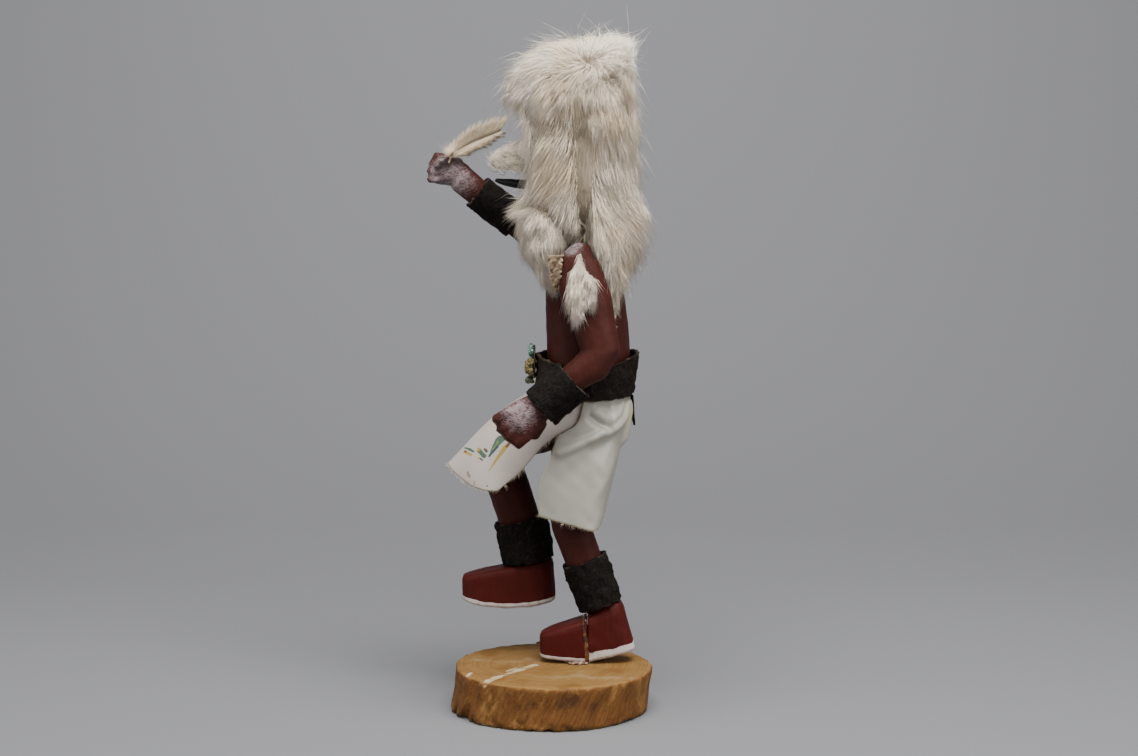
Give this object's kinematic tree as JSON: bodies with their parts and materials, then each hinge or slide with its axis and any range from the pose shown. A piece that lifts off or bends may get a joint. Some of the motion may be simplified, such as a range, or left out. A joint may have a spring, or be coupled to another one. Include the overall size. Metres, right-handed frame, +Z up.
{
  "type": "kachina doll",
  "caption": "Carved and painted dancing kachina doll with fur headdress, leather kilt, belt and cuffs, standing on one foot on a sawn wooden slab.",
  "frame": {"origin": "centre of the slab's underside, on the surface it stands on", "axes": "+Z up, the figure faces -Y and its left side is +X"},
  "size_m": [0.1617, 0.1341, 0.388],
  "materials": {
    "slab_wood": "sawn, thinly varnished, with bare bark side",
    "maroon_paint": "brushed maroon paint over carved wood, satin",
    "boot_paint": "brushed brick red paint, white sole band, satin",
    "black_paint": "black paint, satin",
    "dark_leather": "dark brown leather, rough side out",
    "white_leather": "thin white leather, soft satin",
    "raw_hide": "torn tan hide",
    "white_fur": "long soft rabbit fur",
    "buckle_metal": "dull, aged",
    "buckle_stone": "uneven polished chips",
    "plume": "downy feather"
  },
  "bodies": {
    "root": {"base_slab": "slab_wood", "torso": "maroon_paint", "head": "maroon_paint", "muzzle": "white_fur", "lower_jaw": "black_paint", "left_arm": "maroon_paint", "right_arm": "maroon_paint", "left_leg": "maroon_paint", "right_leg": "maroon_paint", "left_foot_heel": "boot_paint", "left_foot_toe": "boot_paint", "right_foot": "boot_paint", "left_cuff": "dark_leather", "right_cuff": "dark_leather", "left_anklet": "dark_leather", "right_anklet": "dark_leather", "belt": "dark_leather", "belt_tail": "dark_leather", "buckle_plate": "buckle_metal", "turquoise_stone_top": "buckle_stone", "turquoise_stone_right": "buckle_stone", "amber_stone_left": "buckle_stone", "green_stone_bottom": "buckle_stone", "apron": "white_leather", "kilt": "white_leather", "fur_pelt": "white_fur", "fur_ruff": "white_fur", "shoulder_tuft": "white_fur", "collar_hide": "raw_hide", "feather": "plume"}
  },
  "joints": []
}
